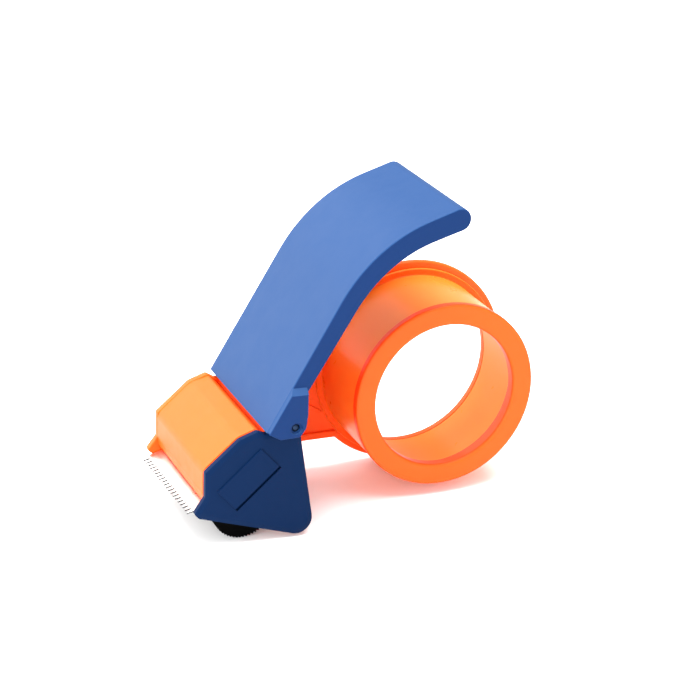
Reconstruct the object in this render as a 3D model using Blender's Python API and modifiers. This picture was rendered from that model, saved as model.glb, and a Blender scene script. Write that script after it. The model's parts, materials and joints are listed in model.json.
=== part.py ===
"""Hand-held packing tape dispenser, as separate pieces.

X runs along the tool with the nose at -X, Y runs across it with the guard at -Y, and Z is up.
The tool stands at Z = 0 on its roller and on the rim of its flange. Profiles are drawn in
millimetres from the point below the hub's axis, and main() then moves the whole tool by HUB_X,
so that the origin is below the middle of the tool's box.
"""
import math

import bmesh
import bpy
from mathutils import Matrix, Vector

MM = 0.001
GAP = 0.3

# Hub: it takes a 76 mm tape core
HUB_X = 34.0
HUB_Z = 42.5
RIM_RADIUS = 42.5
DRUM_RADIUS = 37.2
BORE_RADIUS = 34.8
HUB_FLANGE_RADIUS = 39.8
END_RING_RADIUS = 37.7
END_RING_BORE = 29.3
HUB_SCREW_REACH = 36.1
HUB_NEAR_Y = -13.0
HUB_FAR_Y = 28.0

# Nose: two cheeks 53 mm apart, for 48 mm tape
CHEEK_OUTER = 29.5
CHEEK_INNER = 26.5
WALL = 2.6
BROW_NEAR = -0.3
BROW_FAR = 0.6

# Roller under the nose
ROLLER = (-87.0, 11.7)
ROLLER_RADIUS = 11.7
ROLLER_HALF = 23.0
SLEEVE_BORE = 5.3
RIB_COUNT = 56

# Handle strap, drawn along the edge of its upper face
STRAP_START = (-81.4, 46.15)
STRAP_HEADING = 59.8
STRAP_MOVES = ((55.0, 0), (65.0, 16.1), (60.2, 25.7), (11.4, 0))
STRAP_DEPTH = 6.1
STRAP_DEEPENING = 0.024
STRAP_SKIN = 2.4
STRAP_HALF = 32.3
STRAP_NARROWING = 0.028
STRAP_TOP_Z = 125.0
LUG_FACES = {-1: 34.3, 1: 32.3}
PIN_ENDS = {-1: 33.5, 1: 31.8}

# Pivot of the flap that holds the end of the tape
FLAP_PIVOT = (-84.5, 34.0)
HANDLE_PIN = (-70.6, 47.4)
GUARD_PEGS = ((-79.6, 37.6), (-94.3, 34.4), (-70.0, 32.0))

ORANGE = (0.95, 0.23, 0.04, 1)
ORANGE_LIGHT = (0.98, 0.33, 0.10, 1)
BLUE = (0.02, 0.10, 0.42, 1)
STEEL = (0.62, 0.63, 0.65, 1)
BLACK = (0.012, 0.012, 0.013, 1)
WHITE = (0.78, 0.78, 0.76, 1)


def clear_scene():
    for item in list(bpy.data.objects):
        bpy.data.objects.remove(item, do_unlink=True)


def new_collection(name):
    group = bpy.data.collections.new(name)
    bpy.context.scene.collection.children.link(group)
    return group


clear_scene()
PARTS = new_collection("tape_dispenser")
CUTTERS = new_collection("cutters")


def material(name, colour, roughness, metallic=0.0):
    made = bpy.data.materials.new(name)
    made.use_nodes = True
    shader = made.node_tree.nodes["Principled BSDF"]
    shader.inputs["Base Color"].default_value = colour
    shader.inputs["Roughness"].default_value = roughness
    shader.inputs["Metallic"].default_value = metallic
    made.diffuse_color = colour
    return made


def add_object(name, mesh, group=None):
    item = bpy.data.objects.new(name, mesh)
    (group or PARTS).objects.link(item)
    return item


# ---------------------------------------------------------------- outlines

def rounded(corners, steps=5):
    """Replace each corner (x, z, radius) of a closed outline by an arc of that radius."""
    points = []
    count = len(corners)
    for index, (x, z, radius) in enumerate(corners):
        here = Vector((x, z))
        if not radius:
            points.append(here)
            continue
        before = (Vector(corners[index - 1][:2]) - here).normalized()
        after = (Vector(corners[(index + 1) % count][:2]) - here).normalized()
        half = before.angle(after) / 2
        centre = here + (before + after).normalized() * radius / math.sin(half)
        first = here + before * radius / math.tan(half) - centre
        last = here + after * radius / math.tan(half) - centre
        sweep = first.angle_signed(last)
        for step in range(steps + 1):
            turn = Matrix.Rotation(-sweep * step / steps, 2)
            points.append(centre + turn @ first)
    return points


def walk(start, heading, moves, steps=6):
    """Points and headings along a path: (length, 0) is straight, (radius, sweep) turns right."""
    x, z = start
    angle = math.radians(heading)
    path = [(x, z, angle)]
    for size, sweep in moves:
        if not sweep:
            x += size * math.cos(angle)
            z += size * math.sin(angle)
            path.append((x, z, angle))
            continue
        turn = math.radians(sweep) / steps
        chord = 2 * size * math.sin(turn / 2)
        for _ in range(steps):
            x += chord * math.cos(angle - turn / 2)
            z += chord * math.sin(angle - turn / 2)
            angle -= turn
            path.append((x, z, angle))
    return path


def beside(path, distance):
    """The path moved to its right by a distance."""
    return [Vector((x + distance * math.sin(a), z - distance * math.cos(a))) for x, z, a in path]


def circle(centre, radius, count=32):
    turns = [2 * math.pi * step / count for step in range(count)]
    return [Vector((centre[0] + radius * math.cos(t), centre[1] + radius * math.sin(t))) for t in turns]


# ---------------------------------------------------------------- solids

def slab(name, outline, y0, y1, group=None):
    """A flat outline in the XZ plane, filled and given thickness from y0 to y1."""
    curve = bpy.data.curves.new(name, "CURVE")
    curve.dimensions = "2D"
    curve.fill_mode = "BOTH"
    curve.extrude = (y1 - y0) / 2 * MM
    spline = curve.splines.new("POLY")
    spline.points.add(len(outline) - 1)
    for point, (x, z) in zip(spline.points, outline):
        point.co = (x * MM, z * MM, 0, 1)
    spline.use_cyclic_u = True
    drawn = add_object(name + "_outline", curve, group)
    drawn.location.y = (y0 + y1) / 2 * MM
    drawn.rotation_euler.x = math.pi / 2
    bpy.context.view_layer.update()
    mesh = bpy.data.meshes.new_from_object(drawn.evaluated_get(bpy.context.evaluated_depsgraph_get()))
    mesh.transform(drawn.matrix_world)
    bpy.data.objects.remove(drawn, do_unlink=True)
    weld(mesh)
    return add_object(name, mesh, group)


def weld(mesh):
    work = bmesh.new()
    work.from_mesh(mesh)
    bmesh.ops.remove_doubles(work, verts=work.verts, dist=0.00001)
    bmesh.ops.recalc_face_normals(work, faces=work.faces)
    work.to_mesh(mesh)
    work.free()


def rod(name, centre, radius, y0, y1, group=None, sides=24):
    """A round bar along Y."""
    mesh = bpy.data.meshes.new(name)
    work = bmesh.new()
    bmesh.ops.create_cone(work, cap_ends=True, segments=sides, radius1=radius * MM, radius2=radius * MM,
                          depth=(y1 - y0) * MM)
    work.to_mesh(mesh)
    work.free()
    mesh.transform(Matrix.Rotation(math.pi / 2, 4, "X"))
    mesh.transform(Matrix.Translation(Vector((centre[0], (y0 + y1) / 2, centre[1])) * MM))
    return add_object(name, mesh, group)


def turned(name, profile, centre, steps=64, group=None):
    """A closed (radius, y) profile turned about an axis along Y."""
    mesh = bpy.data.meshes.new(name)
    corners = [(radius * MM, 0, y * MM) for radius, y in profile]
    edges = [(index, (index + 1) % len(corners)) for index in range(len(corners))]
    mesh.from_pydata(corners, edges, [])
    item = add_object(name, mesh, group)
    item.location = (centre[0] * MM, 0, centre[1] * MM)
    item.rotation_euler.x = -math.pi / 2
    screw = item.modifiers.new("Turn", "SCREW")
    screw.steps = steps
    screw.render_steps = steps
    screw.use_merge_vertices = True
    screw.merge_threshold = 0.00001
    screw.use_smooth_shade = True
    return item


def as_tool(item):
    """Mark a shape as a cutter or as stock to be joined, which isn't a piece itself."""
    for group in item.users_collection:
        group.objects.unlink(item)
    CUTTERS.objects.link(item)
    item.hide_render = True
    item.display_type = "WIRE"
    return item


def boolean(target, tool, operation):
    step = target.modifiers.new(tool.name, "BOOLEAN")
    step.operation = operation
    step.object = as_tool(tool)
    step.solver = "EXACT"


def join(target, *tools):
    for tool in tools:
        boolean(target, tool, "UNION")


def cut(target, *tools):
    for tool in tools:
        boolean(target, tool, "DIFFERENCE")


def finish(item, made):
    item.data.materials.clear()
    item.data.materials.append(made)
    return item


# ---------------------------------------------------------------- shared shapes

STRAP = walk(STRAP_START, STRAP_HEADING, STRAP_MOVES)


def cheek_outline(out):
    """Outline of the guard or of the far cheek, which stands further out: toe, base, rear, ear, brow."""
    lift = max(0, out)
    return rounded((
        (-104.15 - out, 22.0 + out, 0),
        (-108.2 - out, 15.7 + out / 2 + 2 * lift, 1.2),
        (-106.2 - out / 2, 13.5 + 3 * lift, 1.0),
        (-59.6, -1.4, 6.0),
        (-66.6, 41.5, 0),
        (-67.2, 56.5, 1.5),
        (-71.5, 56.5, 1.0),
        (-78.4, 44.4, 0),
        (-80.9, 44.4, 0),
        (-83.9 - out, 45.95 + out, 1.5),
        (-91.0 - out, 43.5 + out, 3.0),
        (-104.15 - out, 32.0 + out, 0.8),
    ))


def strap_side(path, spare=0.0):
    """Lower edge of the handle's side walls, which grow deeper towards the tail."""
    travelled = 0.0
    points = []
    for index, (x, z, a) in enumerate(path):
        if index:
            travelled += math.hypot(x - path[index - 1][0], z - path[index - 1][1])
        depth = STRAP_DEPTH + STRAP_DEEPENING * travelled + spare
        points.append(Vector((x + depth * math.sin(a), z - depth * math.cos(a))))
    return points


def strap_at(distance):
    """Point on the upper face of the handle's straight foot."""
    return beside(walk(STRAP_START, STRAP_HEADING, ((distance, 0),)), 0.1)[-1]


def lug_outline():
    """Lug at each side of the handle's foot."""
    foot = strap_at(0.1)
    tip = strap_at(19.5)
    return rounded((
        (foot.x, foot.y, 0),
        (-76.6, 43.5, 0),
        (-68.9, 43.6, 1.5),
        (-66.6, 47.0, 3.0),
        (-66.0, 52.5, 3.0),
        (-66.1, 62.6, 0),
        (tip.x, tip.y, 0),
    ))


# ---------------------------------------------------------------- orange body

def make_hood():
    """Bent wall from the nose's lower edge up over the top to the foot of the handle."""
    outline = rounded((
        (-102.6, 17.4, 0), (-103.4, 18.8, 0), (-103.95, 22.2, 0), (-103.95, 31.9, 3.0), (-90.9, 43.4, 6.0),
        (-83.9, 45.85, 1.0), (-79.0, 41.2, 0), (-81.0, 39.3, 0), (-84.6, 43.0, 0.5), (-89.9, 40.9, 3.5),
        (-101.5, 30.7, 1.0), (-101.5, 18.0, 0)))
    hood = slab("hood", outline, -CHEEK_INNER + GAP, CHEEK_INNER + 1.0)
    for vertex in hood.data.vertices:
        share = vertex.co.y / (2 * CHEEK_INNER * MM) + 0.5
        share *= min(1, max(0, (-82.5 - vertex.co.x / MM) / 6))
        vertex.co.x -= 0.7 * share * MM
        vertex.co.z += 0.45 * share * MM
    return hood


def make_tongue():
    """Flat tongue that stands inside the handle, just under its skin."""
    reach = walk(STRAP_START, STRAP_HEADING, ((-4.0, 0), (34.0, 0)))[1:]
    outline = beside(reach, STRAP_SKIN + 2 * GAP) + beside(reach, STRAP_SKIN + 2 * GAP + WALL)[::-1]
    return slab("tongue", outline, -CHEEK_INNER + 2 * GAP, CHEEK_INNER + 0.8)


def make_arm():
    """Plate from the far cheek to the flange ring, level along its upper and lower edges."""
    outline = rounded((
        (-76.0, 13.3, 0), (-76.0, 40.0, 0), (-70.5, 55.6, 0), (-42.8, 55.6, 6.0), (-33.0, 68.0, 0),
        (-14.0, 60.0, 0), (-14.0, 13.3, 0)))
    return slab("arm", outline, HUB_FAR_Y - 3.0, HUB_FAR_Y)


def make_body_frame(made):
    frame = slab("body_frame", cheek_outline(BROW_FAR), CHEEK_INNER, CHEEK_OUTER)
    join(frame, make_hood(), make_tongue(), make_arm())
    join(frame, rod("rim", (0, HUB_Z), RIM_RADIUS, HUB_FAR_Y - 2.8, HUB_FAR_Y, sides=96))
    lip = rounded(((-75.4, 13.6, 0), (-75.4, 16.2, 0), (-30.5, 16.2, 0), (-29.4, 13.6, 0)))
    join(frame, slab("arm_lip", lip, HUB_FAR_Y - 4.4, HUB_FAR_Y - 2.0))
    for index, peg in enumerate(GUARD_PEGS):
        join(frame, rod(f"post_{index}", peg, 3.4, -CHEEK_INNER + GAP, CHEEK_INNER + 1.0, sides=20))
    join(frame, rod("handle_boss", HANDLE_PIN, 4.0, -CHEEK_INNER + GAP, CHEEK_INNER + 1.0, sides=20))
    cut(frame, rod("bore_cut", (0, HUB_Z), BORE_RADIUS, HUB_FAR_Y - 8, HUB_FAR_Y + 4, sides=96))
    for index, peg in enumerate(GUARD_PEGS):
        cut(frame, rod(f"peg_hole_{index}", peg, 2.1, -CHEEK_INNER - 2, -CHEEK_INNER + 9, sides=16))
    for side in (-1, 1):
        reach = sorted((side * 18.0, side * 36.0))
        cut(frame, rod(f"pin_hole_{side}", HANDLE_PIN, 1.6, *reach, sides=16))
    cut(frame, rod("axle_hole", ROLLER, 1.8, CHEEK_INNER - 4, CHEEK_INNER + 2, sides=20))
    cut(frame, rod("flap_pin_hole", FLAP_PIVOT, 1.5, CHEEK_INNER - 4, CHEEK_INNER + 2, sides=16))
    for index, y in enumerate(BLADE_SCREW_Y):
        cut(frame, stud_x(f"blade_hole_{index}", BLADE_SCREW_Z, y, 1.1, -103.9, -98.0))
    for index, (x, z) in enumerate(hub_screw_places()):
        cut(frame, rod(f"ring_hole_{index}", (x, z), 0.85, HUB_FAR_Y - 6, HUB_FAR_Y + 2, sides=12))
        cut(frame, rod(f"ring_sink_{index}", (x, z), 1.25, HUB_FAR_Y - 1.3, HUB_FAR_Y + 2, sides=12))
    return finish(frame, made)


# ---------------------------------------------------------------- hub

def hub_screw_places():
    turns = [math.radians(45 + 90 * index) for index in range(4)]
    return [(HUB_SCREW_REACH * math.cos(t), HUB_Z + HUB_SCREW_REACH * math.sin(t)) for t in turns]


def make_tape_hub(made):
    """Drum with a small flange that seats on the frame's ring."""
    far = HUB_FAR_Y - 2.8 - GAP
    near = HUB_NEAR_Y + 3.4 + GAP
    hub = turned("tape_hub", (
        (BORE_RADIUS, far), (HUB_FLANGE_RADIUS, far), (HUB_FLANGE_RADIUS, far - 1.5),
        (DRUM_RADIUS, far - 1.5), (DRUM_RADIUS, near), (BORE_RADIUS - 0.4, near)), (0, HUB_Z))
    for index, place in enumerate(hub_screw_places()):
        cut(hub, rod(f"drum_hole_{index}", place, 0.7, far - 7, far + 1, sides=12))
    return finish(hub, made)


def make_hub_end_ring(made):
    """Ring with a rounded outer edge, a wide face and a collar that plugs into the drum."""
    y = HUB_NEAR_Y
    back = y + 3.4
    ring = turned("hub_end_ring", (
        (33.9, back + 5.0), (33.9, back), (END_RING_RADIUS, back), (END_RING_RADIUS, y + 1.0),
        (END_RING_RADIUS - 0.3, y + 0.3), (END_RING_RADIUS - 1.0, y), (END_RING_BORE + 1.4, y),
        (END_RING_BORE + 0.4, y + 0.4), (END_RING_BORE, y + 1.4), (END_RING_BORE, y + 4.6),
        (31.4, y + 4.8), (31.4, back + 5.0)), (0, HUB_Z))
    return finish(ring, made)


def make_hub_screws(made):
    for index, place in enumerate(hub_screw_places()):
        screw = rod(f"hub_screw_{index + 1}", place, 0.6, HUB_FAR_Y - 9.0, HUB_FAR_Y - 0.9, sides=12)
        head = rod(f"hub_screw_head_{index + 1}", place, 1.1, HUB_FAR_Y - 1.0, HUB_FAR_Y + 0.1, sides=12)
        join(screw, head)
        finish(screw, made)


# ---------------------------------------------------------------- handle

def narrow(item):
    """Draw the two sides together towards the top of the handle."""
    foot = STRAP_START[1] * MM
    for vertex in item.data.vertices:
        rise = (vertex.co.z - foot) / (STRAP_TOP_Z * MM - foot)
        vertex.co.y *= 1 - STRAP_NARROWING * rise
    return item


def make_lug(side):
    """Lug round a pin, with a sloped upper end that runs out on the strap's side."""
    faces = sorted((side * (CHEEK_OUTER + 2 * GAP), side * LUG_FACES[side]))
    lug = slab(f"lug_{side}", lug_outline(), *faces)
    work = bmesh.new()
    work.from_mesh(lug.data)
    edge = Vector((-66.1, side * STRAP_HALF, 62.3)) * MM
    slope = Vector((0.02, side * 0.7, 0.7)).normalized()
    everything = work.verts[:] + work.edges[:] + work.faces[:]
    cutting = bmesh.ops.bisect_plane(work, geom=everything, dist=0.00001, plane_co=edge, plane_no=slope,
                                     clear_outer=True)
    rim = [part for part in cutting["geom_cut"] if isinstance(part, bmesh.types.BMEdge)]
    if rim:
        bmesh.ops.holes_fill(work, edges=rim)
    bmesh.ops.recalc_face_normals(work, faces=work.faces)
    work.to_mesh(lug.data)
    work.free()
    cut(lug, rod(f"lug_hole_{side}", HANDLE_PIN, 1.6, *sorted((side * 28.0, side * 36.0)), sides=16))
    return lug


def make_handle(made):
    """Strap with side walls, open below, cross ribs inside, and a lug at each side of its foot."""
    top = beside(STRAP, 0)
    under = strap_side(STRAP)
    end = (top[-1] + under[-1]) / 2
    tail = [end + Matrix.Rotation(-math.pi * step / 8, 2) @ (top[-1] - end) for step in range(1, 8)]
    handle = narrow(slab("handle", top + tail + under[::-1], -STRAP_HALF, STRAP_HALF))
    run = walk(STRAP_START, STRAP_HEADING, ((-6.0, 0), (6.0, 0)) + STRAP_MOVES[:-1])[1:]
    hollow = beside(run, STRAP_SKIN) + strap_side(run, 5)[::-1]
    cut(handle, narrow(slab("hollow", hollow, -STRAP_HALF + 2.5, STRAP_HALF - 2.5)))
    run = walk(STRAP_START, STRAP_HEADING, ((-7.0, 0), (38.0, 0)))[1:]
    foot = beside(run, STRAP_SKIN - 0.05) + strap_side(run, 12)[::-1]
    cut(handle, slab("foot_pocket", foot, -CHEEK_OUTER - GAP, CHEEK_OUTER + GAP))
    walls = strap_side(STRAP, -1.0)
    for index in (6, 10, 13):
        x, z, heading = STRAP[index]
        rib = (beside([(x, z, heading)], STRAP_SKIN - 0.5)[0], walls[index])
        step = Vector((math.cos(heading), math.sin(heading))) * 0.8
        outline = [rib[0] - step, rib[0] + step, rib[1] + step, rib[1] - step]
        join(handle, narrow(slab(f"handle_rib_{index}", outline, -STRAP_HALF + 2, STRAP_HALF - 2)))
    join(handle, make_lug(-1), make_lug(1))
    return finish(handle, made)


def make_handle_pins(made):
    for name, side in (("near", -1), ("far", 1)):
        reach = sorted((side * 20.0, side * PIN_ENDS[side]))
        finish(rod(f"handle_pin_{name}", HANDLE_PIN, 1.3, *reach, sides=16), made)


# ---------------------------------------------------------------- guard

def make_side_guard(made):
    guard = slab("side_guard", cheek_outline(BROW_NEAR), -CHEEK_OUTER, -CHEEK_INNER)
    along = Vector((math.cos(math.radians(42)), math.sin(math.radians(42))))
    across = Vector((-along.y, along.x))
    centre = Vector((-87.3, 27.4))
    pad = [centre + along * a * 11.3 + across * b * 5.4 for a, b in ((-1, -1), (1, -1), (1, 1), (-1, 1))]
    join(guard, slab("label_pad", pad, -CHEEK_OUTER - 0.5, -CHEEK_OUTER + 1.0))
    for index, peg in enumerate(GUARD_PEGS):
        join(guard, rod(f"peg_{index}", peg, 1.8, -CHEEK_INNER - 1.0, -CHEEK_INNER + 7.5, sides=16))
    cut(guard, rod("guard_pin_hole", HANDLE_PIN, 1.6, -36.0, -20.0, sides=16))
    cut(guard, rod("guard_axle_hole", ROLLER, 1.8, -CHEEK_INNER - 2.0, -CHEEK_INNER + 4, sides=20))
    cut(guard, rod("guard_flap_hole", FLAP_PIVOT, 1.5, -CHEEK_INNER - 2.0, -CHEEK_INNER + 4, sides=16))
    return finish(guard, made)


# ---------------------------------------------------------------- roller

def hold_at(name, place):
    """Empty on a joint's axis, which carries the pieces that move about it."""
    pivot = bpy.data.objects.new(name, None)
    PARTS.objects.link(pivot)
    pivot.location = Vector((place[0], 0, place[1])) * MM
    bpy.context.view_layer.update()
    return pivot


def carry(item, pivot):
    item.parent = pivot
    item.matrix_parent_inverse = pivot.matrix_world.inverted()


def make_roller(rubber, plastic, steel):
    pivot = hold_at("roller_pivot", ROLLER)
    points = []
    for step in range(RIB_COUNT):
        for share, radius in ((0.0, ROLLER_RADIUS - 0.55), (0.25, ROLLER_RADIUS), (0.6, ROLLER_RADIUS)):
            turn = 2 * math.pi * (step + share) / RIB_COUNT
            points.append(Vector(ROLLER) + Vector((math.cos(turn), math.sin(turn))) * radius)
    sleeve = slab("roller_sleeve", points, -ROLLER_HALF, ROLLER_HALF)
    cut(sleeve, rod("sleeve_bore", ROLLER, SLEEVE_BORE, -30, 30, sides=32))
    carry(finish(sleeve, rubber), pivot)
    end = CHEEK_INNER - 0.4
    core = turned("roller_core", (
        (1.8, end), (3.5, end), (3.5, ROLLER_HALF), (SLEEVE_BORE - GAP, ROLLER_HALF),
        (SLEEVE_BORE - GAP, -ROLLER_HALF), (3.5, -ROLLER_HALF), (3.5, -end), (1.8, -end)), ROLLER, steps=32)
    carry(finish(core, plastic), pivot)
    finish(rod("roller_axle", ROLLER, 1.5, -CHEEK_INNER - 1.6, CHEEK_INNER + 1.6, sides=20), steel)


# ---------------------------------------------------------------- blade

BLADE_SCREW_Y = (-18.0, 0.0, 18.0)
BLADE_SCREW_Z = 26.0
BLADE_HALF = 26.0
TOOTH_COUNT = 20
TOOTH_DEPTH = 2.7
BLADE_BEND = (-101.0, 17.25)
BLADE_TIP = (-109.6, 14.8)
BLADE_SKEW = 0.2
BLADE_THICKNESS = 0.6


def stud_x(name, z, y, radius, x0, x1, sides=12):
    """A round bar along X."""
    stud = rod(name, (0, 0), radius, -(x1 - x0) / 2, (x1 - x0) / 2, sides=sides)
    stud.data.transform(Matrix.Rotation(-math.pi / 2, 4, "Z"))
    stud.data.transform(Matrix.Translation(Vector(((x0 + x1) / 2, y, z)) * MM))
    return stud


def skewed(distance, y):
    """Point of the blade's apron, which reaches a little further forward towards the far side."""
    return (distance * (1 + BLADE_SKEW * (y / (2 * BLADE_HALF) + 0.5)), y)


def make_blade(steel, dark_steel):
    """Bent strip: a toothed apron that points forward, and a leg behind the hood's front wall."""
    run = Vector(BLADE_TIP) - Vector(BLADE_BEND)
    pitch = 2 * BLADE_HALF / TOOTH_COUNT
    root = run.length - TOOTH_DEPTH
    outline = [(0, BLADE_HALF), (0, -BLADE_HALF), skewed(root, -BLADE_HALF)]
    for tooth in range(TOOTH_COUNT):
        left = -BLADE_HALF + tooth * pitch
        outline += [skewed(run.length, left + 0.35), skewed(root, left + pitch)]
    blade = slab("cutting_blade", outline, -BLADE_THICKNESS / 2, BLADE_THICKNESS / 2)
    lie_flat = Matrix.Rotation(math.pi / 2, 4, "X")
    face_nose = Matrix.Rotation(math.pi, 4, "Z")
    slope = Matrix.Rotation(-math.atan2(-run.y, -run.x), 4, "Y")
    place = Matrix.Translation(Vector((BLADE_BEND[0], 0, BLADE_BEND[1])) * MM)
    blade.data.transform(place @ slope @ face_nose @ lie_flat)
    leg = [(-101.3, 17.0), (-100.8, 17.0), (-100.8, 29.0), (-101.3, 29.0)]
    join(blade, slab("blade_leg", leg, -BLADE_HALF + 0.01, BLADE_HALF - 0.01))
    for index, y in enumerate(BLADE_SCREW_Y):
        cut(blade, stud_x(f"leg_hole_{index}", BLADE_SCREW_Z, y, 1.3, -103.0, -99.0))
    finish(blade, steel)
    bar = [(-100.5, 22.5), (-99.0, 22.5), (-99.0, 29.0), (-100.5, 29.0)]
    clamp = slab("blade_clamp", bar, -BLADE_HALF, BLADE_HALF)
    for index, y in enumerate(BLADE_SCREW_Y):
        cut(clamp, stud_x(f"clamp_hole_{index}", BLADE_SCREW_Z, y, 1.3, -102.0, -97.0))
        screw = stud_x(f"blade_screw_{index + 1}", BLADE_SCREW_Z, y, 0.9, -103.6, -98.4)
        join(screw, stud_x(f"blade_screw_head_{index + 1}", BLADE_SCREW_Z, y, 2.0, -98.7, -97.6))
        finish(screw, dark_steel)
    finish(clamp, dark_steel)


# ---------------------------------------------------------------- flap

def make_flap(plastic, steel):
    """Flap with two hinge barrels on a pin, and a torsion spring in the gap between them."""
    pivot = hold_at("flap_pivot", FLAP_PIVOT)
    x, z = FLAP_PIVOT
    plate = rounded(((x - 1.6, z + 0.9, 0), (x + 1.4, z - 1.2, 0), (x - 7.2, z - 10.9, 0.4),
                     (x - 9.2, z - 10.6, 0.4)))
    flap = slab("tape_flap", plate, -24.0, 24.0)
    join(flap, rod("barrel", FLAP_PIVOT, 2.4, -24.0, 24.0, sides=20))
    cut(flap, rod("spring_room", FLAP_PIVOT, 3.6, -6.0, 6.0, sides=20))
    cut(flap, rod("barrel_bore", FLAP_PIVOT, 1.4, -30.0, 30.0, sides=16))
    carry(finish(flap, plastic), pivot)
    finish(rod("flap_pin", FLAP_PIVOT, 1.1, -CHEEK_INNER - 1.5, CHEEK_INNER + 1.5, sides=16), steel)
    make_spring(steel)


def make_spring(steel):
    """Torsion spring: six turns round the pin and two short legs up to the hood."""
    turns, sides, radius = 6, 12, 2.0
    x, z = FLAP_PIVOT
    points = [(x - 1.5, 4.8, z + 5.5)]
    for step in range(turns * sides + 1):
        turn = math.pi / 2 + 2 * math.pi * step / sides
        y = 4.5 - 9.0 * step / (turns * sides)
        points.append((x + radius * math.cos(turn), y, z + radius * math.sin(turn)))
    points.append((x - 1.5, -4.8, z + 5.5))
    curve = bpy.data.curves.new("flap_spring", "CURVE")
    curve.dimensions = "3D"
    curve.bevel_depth = 0.3 * MM
    curve.bevel_resolution = 1
    curve.use_fill_caps = True
    spline = curve.splines.new("POLY")
    spline.points.add(len(points) - 1)
    for point, place in zip(spline.points, points):
        point.co = (*(Vector(place) * MM), 1)
    finish(add_object("flap_spring", curve), steel)


def main():
    orange = material("orange_plastic", ORANGE, 0.38)
    orange_hub = material("orange_hub_plastic", ORANGE_LIGHT, 0.38)
    blue = material("blue_plastic", BLUE, 0.42)
    steel = material("bright_steel", STEEL, 0.28, 1.0)
    screw_steel = material("zinc_steel", STEEL, 0.4, 1.0)
    rubber = material("black_rubber", BLACK, 0.7)
    white = material("white_plastic", WHITE, 0.5)
    make_body_frame(orange)
    make_tape_hub(orange_hub)
    make_hub_end_ring(orange_hub)
    make_hub_screws(screw_steel)
    make_handle(blue)
    make_handle_pins(screw_steel)
    make_side_guard(blue)
    make_roller(rubber, white, steel)
    make_blade(steel, screw_steel)
    make_flap(white, steel)
    centre_tool()


def centre_tool():
    """Carry every piece on one empty below the hub's axis, and put that empty in its place."""
    foot = bpy.data.objects.new("hub_foot", None)
    PARTS.objects.link(foot)
    for item in list(PARTS.objects) + list(CUTTERS.objects):
        if item.parent is None and item is not foot:
            item.parent = foot
    foot.location.x = HUB_X * MM


main()
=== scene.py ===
"""Looks of a hand-held packing tape dispenser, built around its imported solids.

X runs along the tool with the nose at -X, Y runs across it with the guard at -Y, and Z is up.
Profiles are drawn in millimetres from the point below the hub's axis, which FOOT_X carries to
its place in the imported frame.
"""
import json
import math

import bmesh
import bpy
from mathutils import Matrix, Vector


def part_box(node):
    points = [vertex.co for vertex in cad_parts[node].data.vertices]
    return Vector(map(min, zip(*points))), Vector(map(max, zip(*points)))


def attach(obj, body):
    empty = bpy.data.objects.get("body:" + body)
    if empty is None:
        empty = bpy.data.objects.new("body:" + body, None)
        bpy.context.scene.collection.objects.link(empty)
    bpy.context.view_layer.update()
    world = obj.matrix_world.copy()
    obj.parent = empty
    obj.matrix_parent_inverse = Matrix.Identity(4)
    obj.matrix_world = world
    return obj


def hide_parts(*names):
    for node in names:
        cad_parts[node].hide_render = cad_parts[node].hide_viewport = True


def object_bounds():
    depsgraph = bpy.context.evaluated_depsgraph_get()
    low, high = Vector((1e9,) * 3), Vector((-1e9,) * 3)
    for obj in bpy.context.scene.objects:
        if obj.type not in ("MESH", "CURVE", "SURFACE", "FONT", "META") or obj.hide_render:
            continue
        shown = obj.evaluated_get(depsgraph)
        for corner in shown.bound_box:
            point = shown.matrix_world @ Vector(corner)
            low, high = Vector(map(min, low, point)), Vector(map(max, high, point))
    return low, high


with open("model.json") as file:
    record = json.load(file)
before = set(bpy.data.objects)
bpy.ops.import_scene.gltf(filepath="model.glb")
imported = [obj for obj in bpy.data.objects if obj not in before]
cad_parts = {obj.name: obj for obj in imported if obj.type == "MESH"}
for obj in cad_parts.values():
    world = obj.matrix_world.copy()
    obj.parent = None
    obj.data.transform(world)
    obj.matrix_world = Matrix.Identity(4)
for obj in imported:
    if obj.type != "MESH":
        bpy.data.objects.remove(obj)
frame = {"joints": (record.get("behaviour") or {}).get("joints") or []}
cad_low, cad_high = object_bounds()

MM = 0.001


def middle(node):
    low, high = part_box(node)
    return (low + high) / 2 / MM


def joint_place(name):
    for joint in frame["joints"]:
        if joint["name"] == name:
            return Vector(joint["pos_m"]) / MM
    raise KeyError(name)


# ---------------------------------------------------------------- sizes in millimetres

FOOT_X = middle("tape_hub").x
HUB_Z = middle("tape_hub").z
RIM_RADIUS = 42.5
RIM_THICKNESS = 2.8
RING_STEPS = 192
DRUM_RADIUS = 37.2
BORE_RADIUS = 34.8
HUB_FLANGE_RADIUS = 39.8
END_RING_RADIUS = 37.7
END_RING_BORE = 29.3
END_RING_THICKNESS = 3.4
HUB_NEAR_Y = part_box("hub_end_ring")[0].y / MM
HUB_FAR_Y = 28.0
GAP = 0.3

CHEEK_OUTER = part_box("body_frame")[1].y / MM
CHEEK_INNER = CHEEK_OUTER - 3.0
WALL = 2.6
BROW_NEAR = -0.3
BROW_FAR = 0.6
HOOD_LEAN_FROM_X = -82.5
HOOD_LEAN_BLEND = 6
HOOD_LEAN_OUT = 0.7
HOOD_LEAN_UP = 0.45

ROLLER = (joint_place("roller_spin").x - FOOT_X, joint_place("roller_spin").z)
ROLLER_RADIUS = 11.7
ROLLER_HALF = 23.0
SLEEVE_BORE = 5.3
RIB_COUNT = 56

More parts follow.
